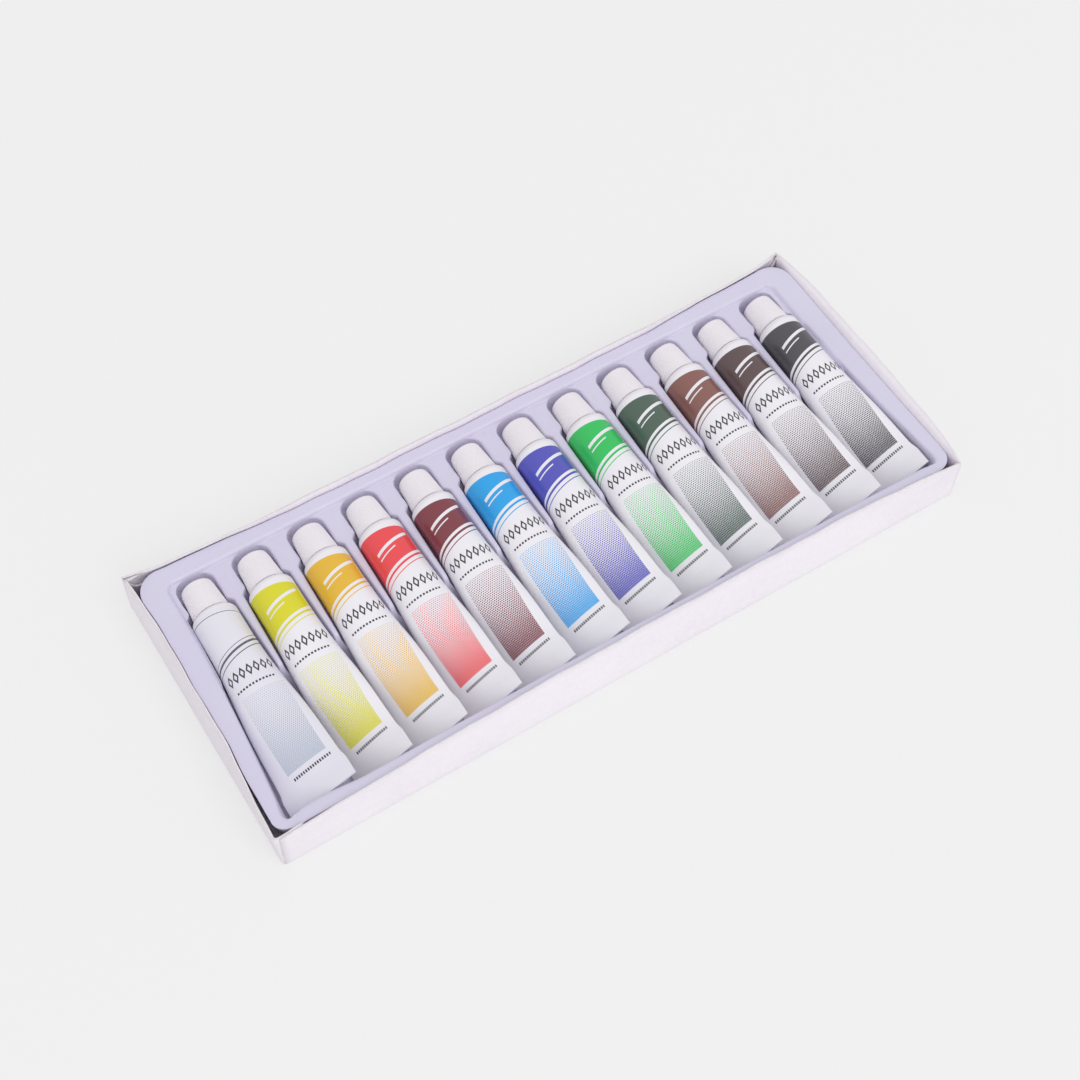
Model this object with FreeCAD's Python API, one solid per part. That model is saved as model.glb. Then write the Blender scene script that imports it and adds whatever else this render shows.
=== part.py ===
import FreeCAD, Part
import math
import os
from FreeCAD import Vector

# A boxed set of twelve paint tubes: a folded card tray, a thermoformed insert with a pocket for each
# tube, and laminate tubes with screw caps. Millimetres: X along the row, Y from tails to caps, Z up.

# The colours of the row, left to right, which name the four pieces of each tube
colours = ["white", "lemon_yellow", "amber_yellow", "scarlet", "crimson", "cerulean",
           "violet_blue", "bright_green", "dark_green", "sienna", "umber", "black"]

# Tube sleeve: round behind the shoulder, then flattened, drooping and rolled over to a sealed tail
tube_diameter = 13.5
tube_wall = 0.4
round_length = 7.0
flat_length = 48.7
seal_length = 5.0
tail_width = 20.4
tail_roll = math.radians(40)
roll_power = 1.1
tail_drop = 2.9
drop_power = 1.6
tail_gap = 1.03
flat_steps = 6
cavity_seal_gap = 3.0
girth_power = 1.75

# Tube head: shoulder, neck and outlet, with a ring that plugs the sleeve
shoulder_height = 2.0
neck_diameter = 6.0
outlet_diameter = 2.2
plug_depth = 3.0
plug_clearance = 0.03
head_wall = 1.1

# Screw cap
cap_skirt_diameter = 11.0
cap_top_diameter = 9.5
cap_length = 10.0
cap_top_wall = 1.2
cap_edge_round = 0.9
cap_seat_gap = 0.2
cap_neck_clearance = 0.25
cap_top_gap = 0.3
stopper_length = 1.3
stopper_clearance = 0.15

# Paint fill
paint_clearance = 0.1
paint_seal_gap = 6.0

# Insert: one formed sheet that stands on its skirt and on the floor of its trough
sheet = 0.45
rest_gap = 0.3
pocket_lift = 3.7
pocket_spread = 1.0
cap_side_gap = 0.1
cap_end_gap = 1.8
cap_pocket_lean = 1.1
shoulder_pocket_gap = 1.4
shoulder_pocket_lean = 0.6
finger_rise = 1.2
step_rise = 1.5
step_run = 0.6
end_ledge = 0.4
pocket_draft = math.radians(5)
finger_flat_share = 0.4148
finger_tip_run = 6.0
trough_side_draft = math.radians(8)
trough_front_draft = math.radians(3)
tail_wall_gap = 2.8
tail_end_gap = 1.0
side_flange = 2.5
front_flange = 1.8
back_flange = 4.0
insert_corner = 8.0
row_shift = 0.3
insert_shift = 0.5

# Card tray: the long walls and the left wall bow in at the rim until they nearly reach the insert
card = 0.6
rim_above_flange = 1.8
end_room = 1.4
long_room = 3.6
insert_clearance = 0.35
tab_length = 15.0
tab_drop = 1.5

# Places that follow from the sizes above
tube_radius = tube_diameter / 2
tail_thickness = 2 * tube_wall
tail_reach = tail_width / 2 * math.cos(tail_roll) + tail_thickness / 2 * math.sin(tail_roll)
pitch = 2 * tail_reach + tail_gap
sleeve_length = seal_length + flat_length + round_length
tube_length = sleeve_length + shoulder_height + cap_seat_gap + cap_length

floor_z = card
trough_z = floor_z + sheet
pocket_z = trough_z + pocket_lift
axis_z = pocket_z + rest_gap + tube_radius
plateau_z = axis_z + finger_rise
flange_z = plateau_z + step_rise
rim_z = flange_z + rim_above_flange

row_length = (len(colours) - 1) * pitch
insert_length = row_length + 2 * (tail_reach + tail_wall_gap + side_flange + row_shift)
insert_depth = front_flange + tail_end_gap + tube_length + cap_end_gap + cap_pocket_lean + back_flange
tray_length = insert_length + 2 * (end_room + card)
tray_width = insert_depth + 2 * (long_room + card)

first_x = insert_shift + row_shift - row_length / 2
tail_y = -insert_depth / 2 + front_flange + tail_end_gap
seal_y = tail_y + seal_length
round_y = seal_y + flat_length
shoulder_y = round_y + round_length
shoulder_top_y = shoulder_y + shoulder_height
cap_base_y = shoulder_top_y + cap_seat_gap
cap_end_y = cap_base_y + cap_length
neck_end_y = cap_end_y - cap_top_wall - cap_top_gap
finger_foot_y = round_y - finger_flat_share * flat_length


def polygon_prism(corners, direction):
    """Extrude the closed polygon through the corners."""
    wire = Part.makePolygon(corners + corners[:1])
    return Part.Face(wire).extrude(direction)


def turned(profile):
    """Revolve a wire drawn in the XY plane, radius along X, about the Y axis."""
    return Part.Face(profile).revolve(Vector(0, 0, 0), Vector(0, 1, 0), 360)


def wall_edge(start, end, inward, bow):
    """One side of the tray's outline: a straight fold, or an arc that bows in by the given depth."""
    if bow == 0:
        return Part.LineSegment(start, end).toShape()
    middle = (start + end) * 0.5 + inward * bow
    return Part.Arc(start, middle, end).toShape()


def tray_outline(length, width, z, long_bow, left_bow):
    """The tray's outline at one height: front, right, back and left sides."""
    x = length / 2
    y = width / 2
    front_left = Vector(-x, -y, z)
    front_right = Vector(x, -y, z)
    back_right = Vector(x, y, z)
    back_left = Vector(-x, y, z)
    return Part.Wire([
        wall_edge(front_left, front_right, Vector(0, 1, 0), long_bow),
        wall_edge(front_right, back_right, Vector(-1, 0, 0), 0),
        wall_edge(back_right, back_left, Vector(0, -1, 0), long_bow),
        wall_edge(back_left, front_left, Vector(1, 0, 0), left_bow)])


def tray_space(length, width, bottom):
    """The solid between the straight folds at the bottom and the bowed outline at the rim."""
    long_bow = long_room - insert_clearance
    left_bow = end_room + insert_shift - insert_clearance
    folds = tray_outline(length, width, bottom, 0, 0)
    rim = tray_outline(length, width, rim_z, long_bow, left_bow)
    return Part.makeLoft([folds, rim], True, True)


def card_tray():
    """The folded card: floor and walls, with a glued tab doubling the long walls at each corner."""
    outside = tray_space(tray_length, tray_width, 0)
    inside = tray_space(tray_length - 2 * card, tray_width - 2 * card, floor_z)
    within_tabs = tray_space(tray_length - 2 * card, tray_width - 4 * card, floor_z)
    tray = outside.cut(inside)
    tab_space = inside.cut(within_tabs)
    tab_height = rim_z - tab_drop - floor_z
    for x in (-tray_length / 2, tray_length / 2 - tab_length):
        for y in (-tray_width / 2, 0):
            corner = Part.makeBox(tab_length, tray_width / 2, tab_height, Vector(x, y, floor_z))
            tray = tray.fuse(tab_space.common(corner))
    return tray.removeSplitter()


def pocket_section(x, y, half_width, depth, flare, top):
    """A round bottom between two sides that lean outwards, in a plane across the tube."""
    left = Vector(x - half_width, y, axis_z)
    right = Vector(x + half_width, y, axis_z)
    top_right = Vector(x + half_width + flare, y, top)
    top_left = Vector(x - half_width - flare, y, top)
    return Part.Wire([
        Part.Arc(left, Vector(x, y, axis_z - depth), right).toShape(),
        Part.LineSegment(right, top_right).toShape(),
        Part.LineSegment(top_right, top_left).toShape(),
        Part.LineSegment(top_left, left).toShape()])


def round_pocket(x, radius, spread, grow, top, front_y, back_y, back_lean):
    """A hollow round a tube's axis, wider in front by the spread, with a leaning back wall."""
    r = radius + grow
    bottom = axis_z - r
    flare = (top - axis_z) * math.tan(pocket_draft)
    lean_per_height = back_lean / (plateau_z - pocket_z)
    foot_y = back_y + grow + (bottom - pocket_z) * lean_per_height
    head_y = back_y + grow + (top - pocket_z) * lean_per_height
    front = pocket_section(x, front_y, r + spread, r, flare, top)
    back = pocket_section(x, head_y, r, r, flare, top)
    trough = Part.makeLoft([front, back], True, True)
    side = polygon_prism([Vector(x - pitch, front_y, bottom), Vector(x - pitch, foot_y, bottom),
                          Vector(x - pitch, head_y, top), Vector(x - pitch, front_y, top)],
                         Vector(2 * pitch, 0, 0))
    return trough.common(side)


def tail_trough(grow, top):
    """The open trough for the tails, with the sloped tips of the fingers as its back wall."""
    bottom = trough_z - grow
    rise = top - bottom
    side_flare = rise * math.tan(trough_side_draft)
    front_flare = rise * math.tan(trough_front_draft)
    tip_slope = finger_tip_run / (plateau_z - trough_z)
    edge_depth = flange_z - bottom
    left = insert_shift - insert_length / 2 + side_flange - grow + edge_depth * math.tan(trough_side_draft)
    right = insert_shift + insert_length / 2 - side_flange + grow - edge_depth * math.tan(trough_side_draft)
    front = tail_y - tail_end_gap - grow + edge_depth * math.tan(trough_front_draft)
    back = finger_foot_y + grow - grow * tip_slope
    across = polygon_prism([Vector(left, front - front_flare, bottom),
                            Vector(right, front - front_flare, bottom),
                            Vector(right + side_flare, front - front_flare, top),
                            Vector(left - side_flare, front - front_flare, top)],
                           Vector(0, shoulder_y - front + front_flare, 0))
    along = polygon_prism([Vector(left - side_flare, front, bottom), Vector(left - side_flare, back, bottom),
                           Vector(left - side_flare, back + rise * tip_slope, top),
                           Vector(left - side_flare, front - front_flare, top)],
                          Vector(right - left + 2 * side_flare, 0, 0))
    return across.common(along)


def finger_recess(grow, top):
    """The step down from the flange to the tops of the fingers, a little wider than the outer pockets."""
    bottom = plateau_z - grow
    pocket_half = tube_radius + rest_gap + (plateau_z - axis_z) * math.tan(pocket_draft)
    half = pocket_half + end_ledge + grow
    flare = (top - bottom) * math.tan(pocket_draft)
    back_run = (top - bottom) * step_run / step_rise
    left = first_x - half
    right = first_x + row_length + half
    front = finger_foot_y
    back = cap_end_y + cap_end_gap + cap_pocket_lean + grow
    section = polygon_prism([Vector(left, front, bottom), Vector(right, front, bottom),
                             Vector(right + flare, front, top), Vector(left - flare, front, top)],
                            Vector(0, back + back_run - front, 0))
    side = polygon_prism([Vector(left - flare, front, bottom), Vector(left - flare, back, bottom),
                          Vector(left - flare, back + back_run, top), Vector(left - flare, front, top)],
                         Vector(right - left + 2 * flare, 0, 0))
    return section.common(side)


def insert_hollows(grow, top):
    """All the hollows of the insert, grown by the sheet's thickness for its underside."""
    hollows = [tail_trough(grow, top), finger_recess(grow, top)]
    for number in range(len(colours)):
        x = first_x + number * pitch
        hollows.append(round_pocket(x, tube_radius + rest_gap, pocket_spread, grow, top,
                                    finger_foot_y,
                                    shoulder_top_y + shoulder_pocket_gap, shoulder_pocket_lean))
        hollows.append(round_pocket(x, cap_skirt_diameter / 2 + cap_side_gap, 0, grow, top,
                                    shoulder_y,
                                    cap_end_y + cap_end_gap, cap_pocket_lean))
    return hollows[0].multiFuse(hollows[1:])


def rounded_block(inset, top):
    """A block on the floor of the tray with the insert's outline, set in all round."""
    block = Part.makeBox(insert_length - 2 * inset, insert_depth - 2 * inset, top - floor_z,
                         Vector(insert_shift - insert_length / 2 + inset, inset - insert_depth / 2, floor_z))
    upright = [edge for edge in block.Edges if abs(edge.tangentAt(edge.FirstParameter).z) > 0.9]
    return block.makeFillet(insert_corner - inset, upright)


def insert_tray():
    """The formed sheet: a flange on a skirt with rounded corners, and the skin of the hollows."""
    shell = rounded_block(0, flange_z).cut(rounded_block(sheet, flange_z - sheet))
    skin = shell.fuse(insert_hollows(sheet, flange_z))
    return skin.cut(insert_hollows(0, flange_z + step_rise)).removeSplitter()


def flattened(share):
    """Half width, half thickness, roll and drop of the sleeve at a share of the way to the seal."""
    edge = tail_thickness / 2
    half_thick = edge + (tube_radius - edge) * math.cos(share * math.pi / 2)
    widening = tail_width / tube_diameter - 1
    half_wide = tube_radius * (1 + widening * (1 - (half_thick / tube_radius) ** girth_power))
    roll = tail_roll * (1 - math.cos(share ** roll_power * math.pi)) / 2
    drop = tail_drop * (1 - math.cos(share ** drop_power * math.pi)) / 2
    return half_wide, half_thick, roll, drop


def sleeve_section(share, inset):
    """The sleeve's oval section, set in from the outside by the given wall."""
    half_wide, half_thick, roll, drop = flattened(share)
    oval = Part.Ellipse(Vector(0, 0, 0), half_wide - inset, min(half_thick, half_wide) - inset).toShape()
    oval.rotate(Vector(0, 0, 0), Vector(1, 0, 0), 90)
    oval.rotate(Vector(0, 0, 0), Vector(0, 1, 0), -math.degrees(roll))
    oval.translate(Vector(0, round_y - share * flat_length, -drop))
    return Part.Wire([oval])


def sleeve_form(inset, round_end_y, seal_gap):
    """The round stretch and the flattening stretch of the sleeve as one solid, up to a gap from the seal."""
    last_share = 1 - seal_gap / flat_length
    shares = [last_share * step / flat_steps for step in range(flat_steps + 1)]
    flat = Part.makeLoft([sleeve_section(share, inset) for share in shares], True, False)
    drum = Part.makeCylinder(tube_radius - inset, round_end_y - round_y,
                             Vector(0, round_y, 0), Vector(0, 1, 0))
    return drum.fuse(flat)


def tube_sleeve():
    """The laminate sleeve, with the flat heat-sealed tail."""
    seal = Part.makeBox(tail_width, seal_length, tail_thickness,
                        Vector(-tail_width / 2, tail_y, -tail_thickness / 2))
    seal.rotate(Vector(0, 0, 0), Vector(0, 1, 0), -math.degrees(tail_roll))
    seal.translate(Vector(0, 0, -tail_drop))
    outside = sleeve_form(0, shoulder_y, 0).fuse(seal)
    inside = sleeve_form(tube_wall, shoulder_y, cavity_seal_gap)
    return outside.cut(inside)


def tube_head():
    """The moulded shoulder and neck, with the outlet and the ring inside the sleeve."""
    plug_radius = tube_radius - tube_wall - plug_clearance
    ring_radius = plug_radius - head_wall
    outlet_radius = outlet_diameter / 2
    neck_radius = neck_diameter / 2
    shoulder_in = tube_radius - shoulder_height
    bend = shoulder_height * math.sqrt(0.5)
    shoulder_edge = Vector(shoulder_in, shoulder_top_y, 0)
    rim_edge = Vector(tube_radius, shoulder_y, 0)
    outer = Part.makePolygon([Vector(ring_radius, shoulder_y, 0),
                              Vector(outlet_radius, shoulder_top_y - head_wall, 0),
                              Vector(outlet_radius, neck_end_y, 0), Vector(neck_radius, neck_end_y, 0),
                              Vector(neck_radius, shoulder_top_y, 0), shoulder_edge])
    curve = Part.Arc(shoulder_edge, Vector(shoulder_in + bend, shoulder_y + bend, 0), rim_edge).toShape()
    inner = Part.makePolygon([rim_edge, Vector(plug_radius, shoulder_y, 0),
                              Vector(plug_radius, shoulder_y - plug_depth, 0),
                              Vector(ring_radius, shoulder_y - plug_depth, 0),
                              Vector(ring_radius, shoulder_y, 0)])
    return turned(Part.Wire(outer.Edges + [curve] + inner.Edges))


def screw_cap():
    """The tapered cap, bored for the neck, with a stopper that enters the outlet."""
    skirt_radius = cap_skirt_diameter / 2
    top_radius = cap_top_diameter / 2
    bore_radius = neck_diameter / 2 + cap_neck_clearance
    stopper_radius = outlet_diameter / 2 - stopper_clearance
    ceiling_y = cap_end_y - cap_top_wall
    bend = cap_edge_round * math.sqrt(0.5)
    side_top = Vector(top_radius, cap_end_y - cap_edge_round, 0)
    end_edge = Vector(top_radius - cap_edge_round, cap_end_y, 0)
    curve_middle = Vector(top_radius - cap_edge_round + bend, cap_end_y - cap_edge_round + bend, 0)
    curve = Part.Arc(side_top, curve_middle, end_edge).toShape()
    rest = Part.makePolygon([end_edge, Vector(0, cap_end_y, 0), Vector(0, ceiling_y - stopper_length, 0),
                             Vector(stopper_radius, ceiling_y - stopper_length, 0),
                             Vector(stopper_radius, ceiling_y, 0), Vector(bore_radius, ceiling_y, 0),
                             Vector(bore_radius, cap_base_y, 0), Vector(skirt_radius, cap_base_y, 0),
                             side_top])
    return turned(Part.Wire([curve] + rest.Edges))


def paint_fill():
    """The paste that fills the sleeve behind the head."""
    paint_start_y = shoulder_y - plug_depth - paint_clearance
    return sleeve_form(tube_wall + paint_clearance, paint_start_y, paint_seal_gap)


os.makedirs("parts", exist_ok=True)

card_tray().exportStep("parts/card_tray.step")
insert_tray().exportStep("parts/insert_tray.step")

tube_pieces = {"sleeve": tube_sleeve(), "head": tube_head(), "cap": screw_cap(), "paint": paint_fill()}
for number, colour in enumerate(colours):
    place = Vector(first_x + number * pitch, 0, axis_z)
    for piece, shape in tube_pieces.items():
        shape.translated(place).exportStep("parts/" + colour + "_" + piece + ".step")
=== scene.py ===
import math

import bmesh
import bpy
import numpy as np
from mathutils import Matrix, Quaternion, Vector


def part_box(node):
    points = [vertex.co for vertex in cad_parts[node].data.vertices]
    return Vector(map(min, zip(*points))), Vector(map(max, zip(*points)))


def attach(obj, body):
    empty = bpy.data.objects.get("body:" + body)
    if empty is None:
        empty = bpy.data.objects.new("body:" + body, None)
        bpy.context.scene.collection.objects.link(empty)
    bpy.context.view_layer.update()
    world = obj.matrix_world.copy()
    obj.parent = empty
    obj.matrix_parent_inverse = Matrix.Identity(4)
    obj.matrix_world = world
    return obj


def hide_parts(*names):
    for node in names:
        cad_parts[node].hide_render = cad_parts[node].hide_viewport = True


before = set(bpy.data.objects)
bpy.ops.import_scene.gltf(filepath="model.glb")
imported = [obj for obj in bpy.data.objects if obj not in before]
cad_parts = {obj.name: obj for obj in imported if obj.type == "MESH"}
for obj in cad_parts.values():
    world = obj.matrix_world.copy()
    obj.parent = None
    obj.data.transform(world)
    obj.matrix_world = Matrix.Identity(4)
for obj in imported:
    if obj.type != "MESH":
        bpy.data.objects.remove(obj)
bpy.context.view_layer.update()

# The card tray: one sheet of thin white board with a coated face, cut, creased and folded up on four
# sides. The short walls end in tapered tabs that are glued inside the long walls. Time has bowed the long
# walls and the left wall inwards at the rim and the right wall outwards, and the raw edges are greyer.
MM = 0.001


def mm_box(node):
    """A node's lowest and highest corners in millimetres."""
    low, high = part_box(node)
    return Vector(low) / MM, Vector(high) / MM


def mesh_piece(name, points, faces, finishes, crease=None):
    """A linked object from points in millimetres, smooth but for edges sharper than the crease in degrees."""
    mesh = bpy.data.meshes.new(name)
    mesh.from_pydata((np.asarray(points, float) * MM).tolist(), [], faces)
    mesh.polygons.foreach_set("use_smooth", [True] * len(mesh.polygons))
    if crease:
        mesh.set_sharp_from_angle(angle=math.radians(crease))
    for finish in finishes:
        mesh.materials.append(finish)
    piece = bpy.data.objects.new(name, mesh)
    bpy.context.scene.collection.objects.link(piece)
    return piece


def grid_faces(rows, columns, start=0, flip=False):
    """Quads over a grid of points that are numbered row by row."""
    faces = []
    for row in range(rows - 1):
        for column in range(columns - 1):
            corner = start + row * columns + column
            quad = (corner, corner + 1, corner + columns + 1, corner + columns)
            faces.append(quad[::-1] if flip else quad)
    return faces


def add_node(tree, kind, settings=None, **inputs):
    """A node with its settings, and its inputs set or linked by name, or by number as i0, i1 and so on."""
    node = tree.nodes.new(kind)
    for key, value in (settings or {}).items():
        setattr(node, key, value)
    for key, value in inputs.items():
        numbered = key[0] == "i" and key[1:].isdigit()
        socket = node.inputs[int(key[1:]) if numbered else key.replace("_", " ")]
        if isinstance(value, bpy.types.NodeSocket):
            tree.links.new(value, socket)
        else:
            socket.default_value = value
    return node


def linear(red, green, blue):
    """A colour given in screen values of 0 to 255, as the linear colour that a shader takes."""
    shares = [channel / 255 for channel in (red, green, blue)]
    return tuple(s / 12.92 if s <= 0.04045 else ((s + 0.055) / 1.055) ** 2.4 for s in shares) + (1.0,)


def new_group(name, inputs, outputs):
    """An empty shader group with named sockets, and its input and output nodes."""
    group = bpy.data.node_groups.new(name, "ShaderNodeTree")
    for label, kind, value in inputs:
        socket = group.interface.new_socket(label, in_out="INPUT", socket_type=kind)
        if value is not None:
            socket.default_value = value
    for label, kind in outputs:
        group.interface.new_socket(label, in_out="OUTPUT", socket_type=kind)
    return group, group.nodes.new("NodeGroupInput"), group.nodes.new("NodeGroupOutput")


# Cloudy unevenness that card, formed sheet, laminate, mouldings and paste all show at their own scale
mottle, mottle_in, mottle_out = new_group(
    "surface_mottle",
    [("Colour", "NodeSocketColor", None), ("Second Colour", "NodeSocketColor", None),
     ("Cloud Scale", "NodeSocketFloat", 60.0), ("Grain Scale", "NodeSocketFloat", 900.0),
     ("Grain Share", "NodeSocketFloat", 0.3), ("Roughness", "NodeSocketFloat", 0.5),
     ("Roughness Spread", "NodeSocketFloat", 0.1)],
    [("Colour", "NodeSocketColor"), ("Roughness", "NodeSocketFloat"), ("Height", "NodeSocketFloat")])
mottle_place = add_node(mottle, "ShaderNodeTexCoord").outputs["Object"]
cloud_noise = add_node(mottle, "ShaderNodeTexNoise", Vector=mottle_place, Detail=4.0,
                       Scale=mottle_in.outputs["Cloud Scale"])
grain_noise = add_node(mottle, "ShaderNodeTexNoise", Vector=mottle_place, Detail=2.0,
                       Scale=mottle_in.outputs["Grain Scale"])
noise = add_node(mottle, "ShaderNodeMix", {"data_type": "FLOAT"}, i0=mottle_in.outputs["Grain Share"],
                 i2=cloud_noise.outputs["Fac"], i3=grain_noise.outputs["Fac"])
colour_share = add_node(mottle, "ShaderNodeMapRange", Value=noise.outputs[0], From_Min=0.3, From_Max=0.7)
mixed_colour = add_node(mottle, "ShaderNodeMix", {"data_type": "RGBA"}, i0=colour_share.outputs[0],
                        i6=mottle_in.outputs["Colour"], i7=mottle_in.outputs["Second Colour"])
centred = add_node(mottle, "ShaderNodeMath", {"operation": "SUBTRACT"}, i0=noise.outputs[0], i1=0.5)
varied = add_node(mottle, "ShaderNodeMath", {"operation": "MULTIPLY_ADD"}, i0=centred.outputs[0],
                  i1=mottle_in.outputs["Roughness Spread"], i2=mottle_in.outputs["Roughness"])
mottle.links.new(mixed_colour.outputs[2], mottle_out.inputs["Colour"])
mottle.links.new(varied.outputs[0], mottle_out.inputs["Roughness"])
mottle.links.new(noise.outputs[0], mottle_out.inputs["Height"])
relief_depth = 0.2 * MM


def mottled_finish(name, colour, second, clouds, grain, share, roughness, spread, bump, specular=0.5):
    """A material whose colour, roughness and bump come from the shared unevenness."""
    finish = bpy.data.materials.new(name)
    finish.use_nodes = True
    tree = finish.node_tree
    shader = tree.nodes["Principled BSDF"]
    uneven = add_node(tree, "ShaderNodeGroup", {"node_tree": mottle}, Colour=colour, Second_Colour=second,
                      Cloud_Scale=clouds, Grain_Scale=grain, Grain_Share=share, Roughness=roughness,
                      Roughness_Spread=spread)
    relief = add_node(tree, "ShaderNodeBump", Strength=bump, Distance=relief_depth,
                      Height=uneven.outputs["Height"])
    tree.links.new(uneven.outputs["Colour"], shader.inputs["Base Color"])
    tree.links.new(uneven.outputs["Roughness"], shader.inputs["Roughness"])
    tree.links.new(relief.outputs["Normal"], shader.inputs["Normal"])
    shader.inputs["Specular IOR Level"].default_value = specular
    return finish


card_face = mottled_finish("card_face", linear(243, 238, 244), linear(236, 229, 239), clouds=55.0,
                           grain=700.0, share=0.45, roughness=0.62, spread=0.25, bump=0.25, specular=0.3)
card_core = mottled_finish("card_core", linear(240, 236, 239), linear(226, 219, 223), clouds=400.0,
                           grain=1800.0, share=0.5, roughness=0.9, spread=0.1, bump=0.3, specular=0.2)

card = 0.6
fold_radius = 0.8
glue = 0.05
half_long, half_wide, rim_z = mm_box("card_tray")[1]
floor_x = np.linspace(fold_radius - half_long, half_long - fold_radius, 89)
# Rows lie closer at the front, where the left wall rounds its corner, and up the walls towards the rim
even_y = np.linspace(fold_radius - half_wide, half_wide - fold_radius, 39)
corner_rows = even_y[0] + np.array((0.3, 0.7, 1.2, 1.8))
floor_y = np.sort(np.concatenate([even_y, corner_rows]))
bend = np.linspace(0, math.pi / 2, 4)
wall_shares = np.linspace(0, 1, 13)[1:] ** 0.8
wall_profile = [(fold_radius * (1 - math.sin(turn)), fold_radius * (1 - math.cos(turn))) for turn in bend]
wall_profile += [(0.0, fold_radius + (rim_z - fold_radius) * share) for share in wall_shares]


def smooth(low, high, value):
    """A smooth rise from 0 to 1 between two values."""
    t = min(1.0, max(0.0, (value - low) / (high - low)))
    return t * t * (3 - 2 * t)


short_end = half_wide - card - glue
flange_z = mm_box("insert_tray")[1].z
# Each wall's bow at mid length, its half length, how flat the bow stays towards its two ends, the height
# where it is deepest, how steeply it grows up to there, and a phase of its unevenness
wall_bows = {"front": (3.25, half_long, (2.0, 4.5), flange_z, 1.35, 0.3),
             "back": (3.4, half_long, (8.0, 8.0), flange_z, 1.35, 2.1),
             "left": (1.45, half_wide, (2.0, 6.0), flange_z, 1.35, 4.0),
             "right": (-2.4, half_wide, (4.0, 4.0), rim_z, 16.0, 5.2)}
slow_wave, slow_rate = 0.14, 0.19
quick_wave, quick_rate = 0.08, 0.47
# Above its deepest level a bow returns a little. Towards its ends the back wall folds over only near the
# rim, and the left wall splays out to a rounded front corner.
rim_return = 0.07
overhang_power = 4
overhang_from, overhang_to = 50.0, 92.0
corner_splay = 1.0
splay_from, splay_to = -10.0, -40.0
corner_round = 1.5
round_height = 5.0


def corner_cut(radius, distance):
    """How far a rounded corner stands back at a distance from the edge that it meets."""
    rest = max(0.0, radius - max(0.0, distance))
    return radius - math.sqrt(radius ** 2 - rest ** 2)


def wall_offset(side, along, z):
    """How far a wall has moved in at a point of it, by its bow and a slow unevenness."""
    depth, half, flatness, deepest, power, phase = wall_bows[side]
    share = max(0.0, 1 - abs(along / half) ** flatness[along > 0])
    wave = slow_wave * math.sin(along * slow_rate + phase)
    wave += quick_wave * math.sin(along * quick_rate + 2 * phase)
    height = min(1.0, z / deepest) ** power - rim_return * max(0.0, z - deepest)
    if side == "back":
        rim_height = 1 - rim_return * (rim_z - deepest)
        folded = rim_height * (z / rim_z) ** overhang_power
        height += (folded - height) * smooth(overhang_from, overhang_to, abs(along))
    offset = (depth * share + wave * math.sqrt(share)) * height
    if side == "left":
        offset -= corner_splay * smooth(splay_from, splay_to, along) * height
        offset += corner_cut(corner_round, along + short_end) * smooth(0.0, round_height, z)
    return offset


def wall_point(side, along, inset, z):
    """A point on the outer face of a wall."""
    move = inset + wall_offset(side, along, z)
    if side == "front":
        return along, move - half_wide, z
    if side == "back":
        return along, half_wide - move, z
    if side == "left":
        return move - half_long, along, z
    return half_long - move, along, z


tray_points = [(x, y, 0.0) for y in floor_y for x in floor_x]
tray_faces = grid_faces(len(floor_y), len(floor_x), 0, True)
for side, along in (("front", floor_x), ("back", floor_x), ("left", floor_y), ("right", floor_y)):
    end = half_long if side in ("front", "back") else short_end
    places = ([] if side == "front" else [-end]) + list(along) + [end]
    start = len(tray_points)
    for inset, z in wall_profile:
        tray_points += [wall_point(side, place, inset, z) for place in places]
    tray_faces += grid_faces(len(wall_profile), len(places), start, side in ("back", "left"))

# Each tab: folded round from the end of a short wall, and glued to the long wall except where it peels.
# For each corner: how far its end peels off the wall, and how far its top edge lies below the rim.
tab_foot_length = 15.0
tab_top_length = 7.0
tab_slope_share = 0.4
tab_shares = np.linspace(0, 1, 9)
peel_curl = 1.6
tab_heights = [z for inset, z in wall_profile[len(bend) - 1:]]
peel = {("left", "front"): (0.3, 0.3), ("left", "back"): (0.0, 5.0), ("right", "front"): (0.0, 5.0),
        ("right", "back"): (0.0, 5.0)}
for (short, long), (lift, tab_drop) in peel.items():
    start = len(tray_points)
    outward = -1 if long == "front" else 1
    hand = -1 if short == "left" else 1
    for z in tab_heights:
        corner = wall_point(short, outward * short_end, 0, z)
        tab_length = tab_foot_length + (tab_top_length - tab_foot_length) * z / rim_z
        for share in tab_shares:
            x = corner[0] - hand * tab_length * share
            wall_y = wall_point(long, x, 0, z)[1] - outward * (card + glue)
            lifted = lift * share ** peel_curl * (z / rim_z) ** 2
            y = wall_y - outward * lifted if share else corner[1]
            drop = tab_drop * min(1, share / tab_slope_share) * (z / rim_z)
            tray_points.append((x, y, z - drop))
    tray_faces += grid_faces(len(tab_heights), len(tab_shares), start, (short == "left") == (long == "back"))

weld_distance = 0.02
card_piece = mesh_piece("folded_card", tray_points, tray_faces, [card_face, card_core])
welded = bmesh.new()
welded.from_mesh(card_piece.data)
bmesh.ops.remove_doubles(welded, verts=welded.verts, dist=weld_distance * MM)
welded.to_mesh(card_piece.data)
welded.free()
thickness = card_piece.modifiers.new("board", "SOLIDIFY")
thickness.thickness = card * MM
thickness.offset = -1.0
thickness.use_even_offset = True
thickness.material_offset_rim = 1
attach(card_piece, "tray")
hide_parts("card_tray")

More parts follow.
